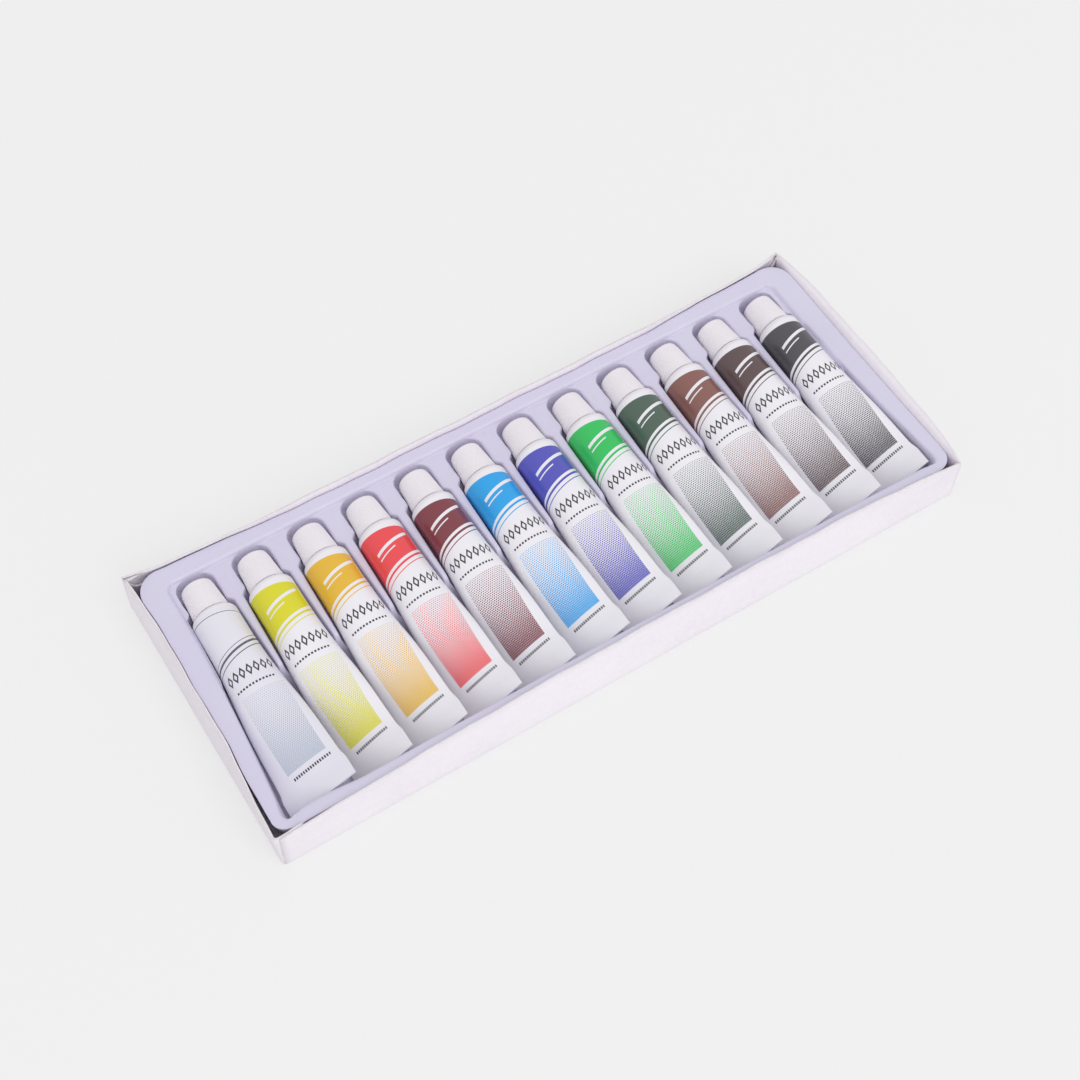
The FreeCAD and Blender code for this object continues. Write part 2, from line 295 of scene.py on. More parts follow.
# The insert: one thin sheet of lilac plastic, vacuum formed over a mould. It has a round-bottomed pocket
# for each tube and its cap, narrow fingers between them, one open trough for the tails and a flat flange
# on a turned-down skirt. It drops loose into the tray and stands on the skirt and the trough's floor.
sheet_finish = mottled_finish("lilac_sheet", linear(217, 213, 233), linear(212, 207, 229), clouds=40.0,
                              grain=1500.0, share=0.4, roughness=0.36, spread=0.12, bump=0.06)
colours = ["white", "lemon_yellow", "amber_yellow", "scarlet", "crimson", "cerulean",
           "violet_blue", "bright_green", "dark_green", "sienna", "umber", "black"]
sheet = 0.45
insert_low, insert_high = mm_box("insert_tray")
trough_z = insert_low.z + sheet
cap_boxes = [mm_box(colour + "_cap") for colour in colours]
centres = [(low.x + high.x) / 2 for low, high in cap_boxes]
pitch = centres[1] - centres[0]
cap_low, cap_high = cap_boxes[0]
cap_radius = (cap_high.x - cap_low.x) / 2
cap_start, cap_end = cap_low.y, cap_high.y
axis_z = (cap_low.z + cap_high.z) / 2
head_low, head_high = mm_box("white_head")
tube_radius = (head_high.x - head_low.x) / 2
sleeve_low, sleeve_high = mm_box("white_sleeve")
shoulder_y = sleeve_high.y

tube_room = 0.3
cap_room = 0.1
cap_end_room = 2.9
body_pocket = tube_radius + tube_room
cap_pocket = cap_radius + cap_room
pocket_spread = 1.0
step_rise = 1.5
step_run = 0.6
plateau_z = flange_z - step_rise
pocket_flare = math.tan(math.radians(5))
trough_flare = math.tan(math.radians(8))
ledge_flare = math.tan(math.radians(30))
front_flange = 1.8
front_wall_y = insert_low.y + front_flange
front_lean = math.tan(math.radians(3))
tip_foot_y, tip_head_y = -5.0, 1.0
pocket_back_y = cap_end + cap_end_room
back_lean = 0.133
outer_corner = 8.0
trough_corner = 4.0
step_corner = 2.6
pocket_corner = 3.2
lip = 0.25


def hump(middle, half, value):
    """A smooth hump of height 1 about a middle, which ends at half its width on either side."""
    return max(0.0, 1 - ((value - middle) / half) ** 2) ** 2


def bezier(start, corner, end, count):
    """Points that round off a corner, without the first."""
    shares = [(step + 1) / count for step in range(count)]
    return [tuple((1 - t) ** 2 * a + 2 * t * (1 - t) * b + t * t * c for a, b, c in zip(start, corner, end))
            for t in shares]


def between(start, end, count):
    """Evenly spaced points between two, without the ends."""
    shares = [(step + 1) / (count + 1) for step in range(count)]
    return [tuple(a + (b - a) * t for a, b in zip(start, end)) for t in shares]


# Stations from front to back: the place, the least height that a cross wall gives it, and the finger top.
# First the front flange, the trough's front wall with its two rounded edges, and the trough's floor.
lip_steps = (0.0, 0.03, 0.12, lip)
front_steps = lip_steps + (0.6, 0.85)
front_edge = 0.75
foot_round = 1.2
stations = [(insert_low.y + step, flange_z, trough_z) for step in front_steps]
front_over = (front_wall_y + front_lean * front_edge, flange_z - front_edge)
front_foot = (front_wall_y + front_lean * (flange_z - trough_z), trough_z)
front_up = (front_foot[0] - front_lean * foot_round, trough_z + foot_round)
front_line = [(front_wall_y - front_edge, flange_z)]
front_line += bezier(front_line[0], (front_wall_y, flange_z), front_over, 5)
front_line += between(front_over, front_up, 4) + [front_up]
front_line += bezier(front_up, front_foot, (front_foot[0] + foot_round, trough_z), 5)
stations += [(y, z, trough_z) for y, z in front_line]
floor_from, floor_to = front_foot[0] + 1.9, tip_foot_y - 2.2
stations += [(y, trough_z, trough_z) for y in np.linspace(floor_from, floor_to, 10)]

# Then the sloped tips of the fingers, and their level tops past the shoulders to the caps' ends, with rows
# that lie closer where the pockets narrow from the tubes to the caps
tip_round = 1.4
finger_from, finger_to = tip_head_y + 2.4, shoulder_y - 0.4
close_to, close_step = cap_start + 5.6, 0.3
cap_from, cap_to = cap_start + 6.0, cap_end - 1.4
slope = Vector((tip_head_y - tip_foot_y, plateau_z - trough_z)).normalized()
tip_up = (tip_foot_y + tip_round * slope.x, trough_z + tip_round * slope.y)
tip_over = (tip_head_y - tip_round * slope.x, plateau_z - tip_round * slope.y)
tip_line = [(tip_foot_y - tip_round, trough_z)]
tip_line += bezier(tip_line[0], (tip_foot_y, trough_z), tip_up, 4)
tip_line += between(tip_up, tip_over, 9) + [tip_over]
tip_line += bezier(tip_over, (tip_head_y, plateau_z), (tip_head_y + tip_round, plateau_z), 5)
stations += [(y, trough_z, z) for y, z in tip_line]
level_ys = list(np.linspace(finger_from, finger_to, 12))
level_ys += list(np.arange(shoulder_y, close_to, close_step))
level_ys += list(np.linspace(cap_from, cap_to, 6))
stations += [(y, trough_z, plateau_z) for y in level_ys]

# Last the leaning back wall of the pockets, the step up from the fingers to the flange, and its back edge
back_edge = 0.8
step_share = 0.45
back_from = cap_end - 0.9
back_steps = (2.2, 1.8, 1.4, 1.0, 0.65) + lip_steps[::-1]
pocket_foot = axis_z - cap_pocket
back_foot = (pocket_back_y - back_lean * (plateau_z - pocket_foot), pocket_foot)
back_up = (back_foot[0] + back_lean * foot_round, pocket_foot + foot_round)
step_foot = (pocket_back_y, plateau_z)
step_head = (pocket_back_y + step_run, flange_z)
step_over = tuple(a + (b - a) * step_share for a, b in zip(step_foot, step_head))
back_line = [(y, pocket_foot) for y in np.linspace(back_from, back_foot[0] - foot_round, 4)]
back_line += bezier(back_line[-1], back_foot, back_up, 5)
back_line += between(back_up, step_foot, 6) + [step_foot, step_over]
back_line += bezier(step_over, step_head, (step_head[0] + back_edge, flange_z), 6)
stations += [(y, z, plateau_z) for y, z in back_line]
stations += [(insert_high.y - step, flange_z, plateau_z) for step in back_steps]

spread_y = cap_start + 1.9
narrow_from, narrow_to = cap_start + 0.7, cap_start + 2.9


def pocket_half(y):
    """Half width and depth of a pocket at the height of the tube's axis: wide in front, narrow at the cap."""
    share = min(1.0, max(0.0, (spread_y - y) / (spread_y - tip_foot_y)))
    widen = 1 - smooth(narrow_from, narrow_to, y)
    half = cap_pocket + (body_pocket + pocket_spread * share - cap_pocket) * widen
    return half, cap_pocket + (body_pocket - cap_pocket) * widen


def side_edge(y, side):
    """The outer edge of the flange at a station, with its rounded corners. Side is -1 or 1."""
    edge = insert_low.x if side < 0 else insert_high.x
    return edge - side * corner_cut(outer_corner, min(y - insert_low.y, insert_high.y - y))


end_ledge = 0.45
ledge_widening = 0.6
left_flange, right_flange = 2.2, 2.5
forward_power = 1.1


def inner_edge(y, side):
    """The inner edge of the flange at a station: close beside the pockets, then wider towards the front."""
    trough = insert_low.x + left_flange if side < 0 else insert_high.x - right_flange
    centre = centres[0] if side < 0 else centres[-1]
    body_half = body_pocket + (flange_z - axis_z) * pocket_flare + end_ledge
    beside = centre + side * (body_half + ledge_widening * smooth(shoulder_y, tip_head_y, y))
    forward = max(0.0, (tip_head_y - y) / (tip_head_y - front_wall_y))
    edge = beside + (trough - beside) * forward ** forward_power
    edge -= side * corner_cut(trough_corner, y - front_wall_y)
    return edge - side * corner_cut(step_corner, step_head[0] - y)


least_hollow = 1.5
pinch, pinch_y, pinch_half = 0.22, cap_start + 3.6, 2.4
hollow_steps = 30


def half_hollow(y, top, rounding):
    """Points of half a pocket, from its middle out over the rounded edge, as distances and heights."""
    half, depth = pocket_half(y)
    reach = max(top, axis_z - depth + least_hollow)
    edge = half + max(0.0, reach - axis_z) * pocket_flare - pinch * hump(pinch_y, pinch_half, y)
    narrow = 1 - corner_cut(pocket_corner, step_foot[0] - y) / edge
    last = math.pi / 2 if reach >= axis_z else math.acos((axis_z - reach) / depth)
    turns = np.linspace(0, last, hollow_steps + 1)
    curve = [(half * math.sin(turn), axis_z - depth * math.cos(turn)) for turn in turns]
    if reach > axis_z:
        curve += between(curve[-1], (edge, reach), 5) + [(edge, reach)]
    else:
        edge = curve[-1][0]
    curve = np.array(curve)
    length = np.concatenate([[0], np.cumsum(np.hypot(*np.diff(curve, axis=0).T))])
    places = np.linspace(0, length[-1] - rounding, 8)
    side = [(np.interp(p, length, curve[:, 0]), np.interp(p, length, curve[:, 1])) for p in places]
    side += bezier(side[-1], (edge, reach), (edge + rounding, reach), 5)
    return [(x * narrow, min(z, top)) for x, z in side]


ledge_flare_run = 4.0
flange_round = 0.7
round_across, round_down = 0.35, 0.5


def end_line(y, top, side, ledge_x):
    """Points from the outer edge of the flange, down its inner wall and along the ledge to a pocket."""
    outer = side_edge(y, side)
    inner = inner_edge(y, side)
    flare = trough_flare + (pocket_flare - trough_flare) * smooth(tip_foot_y, tip_head_y, y)
    flare += (ledge_flare - pocket_flare) * smooth(tip_head_y, tip_head_y + ledge_flare_run, y)
    foot = inner - side * (flange_z - top) * flare
    room = max(0.0, (foot - ledge_x) * side)
    over = min(flange_round, round_across * abs(outer - inner), round_down * (flange_z - min(top, plateau_z)))
    under = min(flange_round, room / 2)
    line = [(outer - side * step, flange_z) for step in lip_steps]
    line += between(line[-1], (inner + side * over, flange_z), 2) + [(inner + side * over, flange_z)]
    down = (inner - side * flare * over, flange_z - over)
    line += bezier(line[-1], (inner, flange_z), down, 5)
    up = (foot + side * flare * under, top + under)
    line += between(down, up, 3) + [up]
    line += bezier(up, (foot, top), (foot - side * under, top), 3)
    line += between(line[-1], (ledge_x, top), 1)
    return line


# The flange is springy: over a band at its rim it follows the bowed walls, and bends up a little where it
# moves far. The limits stop it short of the walls near the corners, where they bow least.
sheet_middle = (insert_low + insert_high) / 2
sheet_reach = (insert_high - insert_low) / 2
flange_band = 2.6
bend_rise = 0.2
corner_push = {(-1, -1): 1.2, (1, -1): 0.9, (-1, 1): 0.25, (1, 1): 0.4}
straight_x, straight_y = 101.0, 34.0
end_gap = 0.15
long_gap, corner_gap = 0.08, 0.4
gap_from, gap_to = 60.0, 100.0
left_limit, right_limit = -108.7, 109.6
front_limit, back_limit = -43.3, 43.4
end_from, end_to = 70.0, 100.0
long_from, long_to = 5.0, 33.0


def past_corner(x, y):
    """How far a point lies past the middle of the nearest rounded corner of the flange, each way."""
    across = max(0.0, abs(x - sheet_middle.x) - sheet_reach.x + outer_corner)
    along = max(0.0, abs(y - sheet_middle.y) - sheet_reach.y + outer_corner)
    return across, along


def rim_distance(x, y):
    """How far a point lies inside the rounded outline of the flange."""
    return outer_corner - math.hypot(*past_corner(x, y))


def reach_out(x, y):
    """A point of the flange, moved so that its rim follows the tray's bowed walls, and its rise there."""
    near_x = min(straight_x, max(-straight_x, x))
    near_y = min(straight_y, max(-straight_y, y))
    gap = long_gap + corner_gap * smooth(gap_from, gap_to, abs(x))
    left = card - half_long + max(0.0, wall_offset("left", near_y, flange_z)) + end_gap
    right = half_long - card - wall_offset("right", near_y, flange_z) - end_gap
    front = card - half_wide + wall_offset("front", near_x, flange_z) + gap
    back = half_wide - card - wall_offset("back", near_x, flange_z) - gap
    end_move = max(left, left_limit) - insert_low.x if x < 0 else min(right, right_limit) - insert_high.x
    long_move = max(front, front_limit) - insert_low.y if y < 0 else min(back, back_limit) - insert_high.y
    move_x = end_move * smooth(end_from, end_to, abs(x))
    move_y = long_move * smooth(long_from, long_to, abs(y))
    across, along = past_corner(x, y)
    diagonal = 2 * across * along / (across ** 2 + along ** 2) if across and along else 0.0
    hand_x, hand_y = math.copysign(1, x), math.copysign(1, y)
    push = corner_push[hand_x, hand_y] * diagonal
    share = smooth(flange_band, 0.0, rim_distance(x, y))
    rise = bend_rise * abs(move_y) * share
    return x + (move_x + hand_x * push) * share, y + (move_y + hand_y * push) * share, rise


bulge, bulge_x, bulge_half = 0.85, -95.0, 14.0
bulge_low, bulge_high = 6.0, 13.0
bulge_from, bulge_to = -30.0, -36.0


def front_bulge(x, y, height):
    """How far the trough's front wall bulges in near its left end, most at its upper edge."""
    inward = smooth(insert_low.y, front_wall_y - front_edge, y) * smooth(bulge_from, bulge_to, y)
    return bulge * hump(bulge_x, bulge_half, x) * inward * smooth(bulge_low, bulge_high, height)


least_step = 0.01


def in_order(line):
    """A row of points whose places rise from left to right, so that no face folds over at the corners."""
    places, heights = map(list, zip(*line))
    for step in range(1, len(places) // 2):
        places[step] = max(places[step], places[step - 1] + least_step)
        places[-step - 1] = min(places[-step - 1], places[-step] - least_step)
    return list(zip(places, heights))


finger_round, finger_round_share = 0.95, 0.42
least_finger = 0.3
ledge_round = 0.25
sheet_points = []
skirt_foot = []
for y, wall_z, top in stations:
    finger = pitch - 2 * (pocket_half(y)[0] + max(0.0, top - axis_z) * pocket_flare)
    half = half_hollow(y, top, min(finger_round, finger_round_share * max(finger, least_finger)))
    end_half = half_hollow(y, top, ledge_round)
    line = end_line(y, top, -1, centres[0] - end_half[-1][0])
    for number, centre in enumerate(centres):
        left = end_half if number == 0 else half
        right = end_half if number == len(centres) - 1 else half
        if number:
            line += between(line[-1], (centre - left[-1][0], line[-1][1]), 2)
        line += [(centre - x, z) for x, z in left[:0:-1]]
        line += [(centre + x, z) for x, z in right]
    line += end_line(y, top, 1, centres[-1] + end_half[-1][0])[::-1]
    for x, z in in_order(line):
        height = max(z, wall_z)
        turn_down = corner_cut(lip, rim_distance(x, y))
        moved_x, moved_y, rise = reach_out(x, y)
        sheet_points.append((moved_x, moved_y + front_bulge(x, y, height), height - turn_down + rise))
        skirt_foot.append((x, y, insert_low.z))
columns = len(line)
sheet_faces = grid_faces(len(stations), columns)
rim = list(range(columns)) + [row * columns + columns - 1 for row in range(1, len(stations))]
rim += [(len(stations) - 1) * columns + column for column in range(columns - 2, -1, -1)]
rim += [row * columns for row in range(len(stations) - 2, 0, -1)]
skirt = len(sheet_points)
sheet_points += [skirt_foot[spot] for spot in rim]
for step, spot in enumerate(rim):
    after = (step + 1) % len(rim)
    sheet_faces.append((spot, skirt + step, skirt + after, rim[after]))
insert_piece = mesh_piece("formed_insert", sheet_points, sheet_faces, [sheet_finish])
thickness = insert_piece.modifiers.new("sheet", "SOLIDIFY")
thickness.thickness = sheet * MM
thickness.offset = -1.0
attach(insert_piece, "insert")
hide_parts("insert_tray")

# The tube sleeves: white laminate rolled into a tube and printed, welded to the head at the shoulder and
# heat sealed flat at the tail. Each one flattens from near the shoulder on, droops a little and rolls over
# to its left, so that the tails lie like shingles. Two blocks of ink and rows of plain marks are printed.
seal_length = 5.0
flat_length = 48.7
cavity_seal_gap = 3.0
tail_y = sleeve_low.y
seal_y = tail_y + seal_length
round_y = seal_y + flat_length
laminate = 0.4
girth = 2 * math.pi * tube_radius


def calc(tree, operation, *values):
    """The result of a math node on the given values or sockets."""
    node = tree.nodes.new("ShaderNodeMath")
    node.operation = operation
    for socket, value in zip(node.inputs, values):
        if isinstance(value, bpy.types.NodeSocket):
            tree.links.new(value, socket)
        else:
            socket.default_value = value
    return node.outputs[0]


def within(tree, value, low, high):
    """1 where a value lies between two bounds."""
    above = calc(tree, "GREATER_THAN", value, low)
    return calc(tree, "MULTIPLY", above, calc(tree, "LESS_THAN", value, high))


def every(tree, first, *others):
    """1 where all the masks are 1."""
    for other in others:
        first = calc(tree, "MULTIPLY", first, other)
    return first


def either(tree, first, *others):
    """1 where any of the masks is 1."""
    for other in others:
        first = calc(tree, "MAXIMUM", first, other)
    return first


# The print in millimetres: across is the way round from the middle of the label, down is from the shoulder
label, label_in, label_out = new_group(
    "tube_print",
    [("Paper", "NodeSocketColor", None), ("Ink", "NodeSocketColor", None),
     ("Dot Ink", "NodeSocketColor", None), ("Dark Ink", "NodeSocketColor", None),
     ("Fill", "NodeSocketFloat", 1.0), ("Turn", "NodeSocketFloat", 0.0)],
    [("Colour", "NodeSocketColor"), ("Ink Mask", "NodeSocketFloat")])
label_uv = add_node(label, "ShaderNodeUVMap").outputs[0]
label_place = add_node(label, "ShaderNodeSeparateXYZ", Vector=label_uv)
across = calc(label, "MULTIPLY_ADD", label_place.outputs[0], girth, -girth / 2)
across = calc(label, "SUBTRACT", across, label_in.outputs["Turn"])
down = calc(label, "MULTIPLY", label_place.outputs[1], shoulder_y - tail_y)
foot_slope, top_slope = 0.25, -0.1
slant = calc(label, "MULTIPLY_ADD", across, foot_slope, down)
top_slant = calc(label, "MULTIPLY_ADD", across, top_slope, down)


def mark(place, rows, columns):
    """1 in a band of places down the tube, straight or slanted, between two columns across it."""
    return every(label, within(label, place, *rows), within(label, across, *columns))


# The slanted block of ink, which is an outline where it isn't filled, its two bars and the stripes below it
block_top, block_foot = 1.5, 12.6
block_columns = (-13.0, 8.6)
outline = 0.2


def ink_block(margin):
    """1 in the slanted block, less a margin all round."""
    columns = (block_columns[0] + margin, block_columns[1] - margin)
    return every(label, calc(label, "LESS_THAN", slant, block_foot - margin),
                 calc(label, "GREATER_THAN", top_slant, block_top + margin), within(label, across, *columns))


bars = either(label, mark(slant, (5.9, 6.9), (-5.6, 6.0)), mark(slant, (8.0, 8.4), (-5.6, 0.4)))
hollow = calc(label, "SUBTRACT", 1.0, ink_block(outline))
block = every(label, ink_block(0.0), either(label, label_in.outputs["Fill"], hollow))
block = every(label, block, calc(label, "SUBTRACT", 1.0, bars))
stripes = either(label, mark(slant, (13.5, 14.2), block_columns), mark(slant, (15.3, 15.6), block_columns))

# A row of lozenges in outline, a row of dashes and a row of ticks
lozenge_pitch, lozenge_count = 2.15, 7
lozenge_half_wide, lozenge_half_high = 0.95, 1.8
lozenge_middle = 20.8
lozenge_hollow = 0.5
row_half = lozenge_pitch * lozenge_count / 2
cell = calc(label, "FRACT", calc(label, "MULTIPLY_ADD", across, 1 / lozenge_pitch, lozenge_count / 2))
cell_across = calc(label, "ABSOLUTE", calc(label, "SUBTRACT", cell, 0.5))
cell_across = calc(label, "MULTIPLY", cell_across, lozenge_pitch / lozenge_half_wide)
cell_down = calc(label, "ABSOLUTE", calc(label, "SUBTRACT", down, lozenge_middle))
cell_down = calc(label, "MULTIPLY", cell_down, 1 / lozenge_half_high)
lozenge = within(label, calc(label, "ADD", cell_across, cell_down), lozenge_hollow, 1.0)
lozenges = every(label, lozenge, within(label, across, -row_half, row_half))
dash_pitch, tick_pitch = 1.0, 0.8
dash_share = 0.6


def dashed(pitch):
    """1 on the printed share of each pitch across."""
    repeat = calc(label, "FRACT", calc(label, "MULTIPLY", across, 1 / pitch))
    return calc(label, "LESS_THAN", repeat, dash_share)


dashes = every(label, dashed(dash_pitch), mark(down, (24.6, 25.2), (-6.4, 5.8)))
ticks = every(label, dashed(tick_pitch), mark(down, (51.8, 52.6), (-5.0, 7.6)))

# The screened block: staggered rows of dots that grow towards the tail
dot_pitch, row_pitch = 0.62, 0.54
least_dot, largest_dot = 0.14, 0.31
dots_from, dots_full, dots_to = 27.0, 49.0, 50.4
dot_row = calc(label, "FLOOR", calc(label, "MULTIPLY", down, 1 / row_pitch))
stagger = calc(label, "MULTIPLY", calc(label, "FLOORED_MODULO", dot_row, 2.0), 0.5)
dot_across = calc(label, "FRACT", calc(label, "MULTIPLY_ADD", across, 1 / dot_pitch, stagger))
dot_across = calc(label, "MULTIPLY", calc(label, "SUBTRACT", dot_across, 0.5), dot_pitch)
dot_down = calc(label, "FRACT", calc(label, "MULTIPLY", down, 1 / row_pitch))
dot_down = calc(label, "MULTIPLY", calc(label, "SUBTRACT", dot_down, 0.5), row_pitch)
dot_reach = calc(label, "SQRT", calc(label, "MULTIPLY_ADD", dot_across, dot_across,
                                     calc(label, "MULTIPLY", dot_down, dot_down)))
dot_size = add_node(label, "ShaderNodeMapRange", Value=down, From_Min=dots_from, From_Max=dots_full,
                    To_Min=least_dot, To_Max=largest_dot).outputs[0]
dots = calc(label, "LESS_THAN", dot_reach, dot_size)
dots = every(label, dots, mark(down, (dots_from, dots_to), (-5.8, 7.4)))
inked = add_node(label, "ShaderNodeMix", {"data_type": "RGBA"}, i0=either(label, block, stripes),
                 i6=label_in.outputs["Paper"], i7=label_in.outputs["Ink"])
dotted = add_node(label, "ShaderNodeMix", {"data_type": "RGBA"}, i0=dots, i6=inked.outputs[2],
                  i7=label_in.outputs["Dot Ink"])
dark = either(label, lozenges, dashes, ticks)
printed = add_node(label, "ShaderNodeMix", {"data_type": "RGBA"}, i0=dark, i6=dotted.outputs[2],
                   i7=label_in.outputs["Dark Ink"])
label.links.new(printed.outputs[2], label_out.inputs["Colour"])
label.links.new(either(label, block, stripes, dots, dark), label_out.inputs["Ink Mask"])
ink_gloss = 0.05


def print_finish(colour, ink, dot_ink, fill, turn):
    """The glossy printed laminate of one tube."""
    finish = bpy.data.materials.new("laminate_" + colour)
    finish.use_nodes = True
    tree = finish.node_tree
    shader = tree.nodes["Principled BSDF"]
    paper = linear(230, 228, 238) if colour == "white" else linear(239, 237, 243)
    paint = add_node(tree, "ShaderNodeGroup", {"node_tree": label}, Paper=paper, Ink=ink,
                     Dot_Ink=dot_ink, Dark_Ink=linear(62, 60, 68), Fill=fill, Turn=turn)
    uneven = add_node(tree, "ShaderNodeGroup", {"node_tree": mottle}, Cloud_Scale=90.0, Grain_Scale=700.0,
                      Grain_Share=0.2, Roughness=0.3, Roughness_Spread=0.12)
    relief = add_node(tree, "ShaderNodeBump", Strength=0.05, Distance=relief_depth,
                      Height=uneven.outputs["Height"])
    gloss = calc(tree, "MULTIPLY_ADD", paint.outputs["Ink Mask"], -ink_gloss, uneven.outputs["Roughness"])
    tree.links.new(paint.outputs["Colour"], shader.inputs["Base Color"])
    tree.links.new(gloss, shader.inputs["Roughness"])
    tree.links.new(relief.outputs["Normal"], shader.inputs["Normal"])
    return finish


ring_count = 96
girth_power = 1.75
waist = 0.5
waist_from, waist_to = 0.5, 0.9
flare_from = 0.93
drop_power = 1.6
roll_power = 1.2
edge_from = 0.6
edge_rise = 0.1
lens_from = 0.35
lens_power = 0.7


def ease(share, power):
    """A rise from 0 to 1 with a slow start and a slow end, which comes later with a larger power."""
    return (1 - math.cos(share ** power * math.pi)) / 2


def sleeve_ring(y, inset, tail):
    """Points round the sleeve at one place, from the seam underneath over the left side, the top and back.
    It flattens to the seal and widens with it, drawn in by a waist before it flares out at the seal."""
    roll_end, half_end, shift_end, drop_end = tail
    share = min(1.0, max(0.0, (round_y - y) / flat_length))
    thick = laminate + (tube_radius - laminate) * math.cos(share * math.pi / 2)
    wide = tube_radius + (half_end - tube_radius) * (1 - (thick / tube_radius) ** girth_power)
    wide -= waist * smooth(waist_from, waist_to, share) * (1 - smooth(flare_from, 1.0, share))
    roll = math.radians(roll_end) * ease(share, roll_power)
    drop = drop_end * ease(share, drop_power)
    shift = shift_end * ease(share, drop_power)
    flat_edge = 0.0 if inset else laminate * smooth(edge_from, 1.0, share)
    power = 1 + lens_power * smooth(lens_from, 1.0, share)
    ring = []
    for step in range(ring_count):
        angle = -math.pi / 2 - 2 * math.pi * step / ring_count
        rise = abs(math.sin(angle))
        x = (wide - inset) * math.cos(angle)
        z = flat_edge * min(1.0, rise / edge_rise) + (thick - inset - flat_edge) * rise ** power
        z = math.copysign(z, math.sin(angle))
        ring.append((x * math.cos(roll) - z * math.sin(roll) + shift, y,
                     x * math.sin(roll) + z * math.cos(roll) - drop))
    return np.array(ring)


def ring_faces(first, rows, flip=False):
    """Quads between rings that follow one another, from the number of their first point."""
    faces = []
    for near in range(first, first + (rows - 1) * ring_count, ring_count):
        far = near + ring_count
        for step in range(ring_count):
            after = (step + 1) % ring_count
            quad = (near + step, near + after, far + after, far + step)
            faces.append(quad[::-1] if flip else quad)
    return faces


inks = {"white": (96, 98, 108), "lemon_yellow": (222, 217, 44), "amber_yellow": (233, 186, 58),
        "scarlet": (238, 78, 84), "crimson": (130, 62, 72), "cerulean": (44, 166, 236),
        "violet_blue": (88, 88, 190), "bright_green": (54, 196, 98), "dark_green": (82, 102, 91),
        "sienna": (140, 96, 90), "umber": (98, 79, 81), "black": (82, 80, 86)}
label_turns = dict(zip(colours, (0.3, -0.2, 0.4, 0.0, -0.3, 0.2, -0.1, 0.5, 0.1, -0.4, 0.3, 0.0)))
# Each tail's roll in degrees, half width, shift to the right and droop
tails = dict(zip(colours, (
    (25.0, 10.6, 0.4, 0.5), (34.0, 9.8, 1.5, 4.0), (34.0, 9.8, 1.2, 3.4), (34.5, 9.8, 0.95, 3.0),
    (34.0, 9.8, 0.75, 3.8), (34.0, 9.8, 0.9, 2.3), (33.6, 9.8, 0.7, 2.0), (34.0, 9.8, 0.6, 2.6),
    (34.3, 9.8, 0.7, 2.8), (33.8, 9.8, 0.7, 2.6), (34.0, 9.8, 0.8, 2.9), (33.0, 9.8, 1.0, 3.9))))
tube_places = {colour: np.array((centre, 0.0, axis_z)) for colour, centre in zip(colours, centres)}
sleeve_crease = 40
outer_ys = [shoulder_y, shoulder_y - 0.2] + list(np.linspace(shoulder_y - 1.0, seal_y + 0.7, 60))
outer_ys += [seal_y + 0.3] + list(np.linspace(seal_y, tail_y, 6))
inner_ys = list(np.linspace(shoulder_y, seal_y + cavity_seal_gap, 14))

# The outer and the inner wall, joined at the mouth, and each closed flat at its end
first_inner = len(outer_ys) * ring_count
sleeve_faces = ring_faces(0, len(outer_ys)) + ring_faces(first_inner, len(inner_ys), True)
for step in range(ring_count):
    after = (step + 1) % ring_count
    sleeve_faces.append((after, step, first_inner + step, first_inner + after))
outer_end = first_inner - ring_count
inner_end = first_inner + (len(inner_ys) - 1) * ring_count
for step in range(ring_count // 2):
    strip = (step, step + 1, ring_count - step - 1, (ring_count - step) % ring_count)
    strip = tuple(dict.fromkeys(strip))
    sleeve_faces.append(tuple(outer_end + spot for spot in strip))
    sleeve_faces.append(tuple(inner_end + spot for spot in strip[::-1]))


def lay_print(sleeve, rings):
    """A UV map of the outer wall: the way round from the seam, and the way down from the shoulder."""
    uv = sleeve.data.uv_layers.new(name="label")
    arcs = []
    for ring in rings:
        steps = np.linalg.norm(np.diff(np.vstack([ring, ring[:1]]), axis=0), axis=1)
        arcs.append(np.concatenate([[0.0], np.cumsum(steps)]) / steps.sum())
    for polygon in sleeve.data.polygons:
        rows = [sleeve.data.loops[loop].vertex_index // ring_count for loop in polygon.loop_indices]
        spots = [sleeve.data.loops[loop].vertex_index % ring_count for loop in polygon.loop_indices]
        on_print = max(rows) < len(outer_ys) and min(rows) != max(rows)
        for loop, row, spot in zip(polygon.loop_indices, rows, spots):
            if not on_print:
                uv.data[loop].uv = (0.0, 0.0)
                continue
            at_seam = spot == 0 and max(spots) > ring_count // 2
            around = 1.0 if at_seam else arcs[row][spot]
            uv.data[loop].uv = (around, (shoulder_y - outer_ys[row]) / (shoulder_y - tail_y))


for colour in colours:
    ink = linear(*inks[colour])
    dot_ink = linear(186, 193, 210) if colour == "white" else ink
    finish = print_finish(colour, ink, dot_ink, 0.0 if colour == "white" else 1.0, label_turns[colour])
    outer_rings = [sleeve_ring(y, 0.0, tails[colour]) for y in outer_ys]
    inner_rings = [sleeve_ring(y, laminate, tails[colour]) for y in inner_ys]
    points = np.concatenate(outer_rings + inner_rings) + tube_places[colour]
    sleeve = mesh_piece(colour + "_printed_sleeve", points, sleeve_faces, [finish], sleeve_crease)
    lay_print(sleeve, outer_rings)
    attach(sleeve, "tube_" + colour)
    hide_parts(colour + "_sleeve")

# The tube heads: white moulded shoulders with a neck and an outlet. A ring below the shoulder plugs the
# sleeve, which is welded round it.
head_finish = mottled_finish("head_moulding", linear(240, 236, 241), linear(236, 231, 238), clouds=120.0,
                             grain=1800.0, share=0.4, roughness=0.42, spread=0.1, bump=0.05)


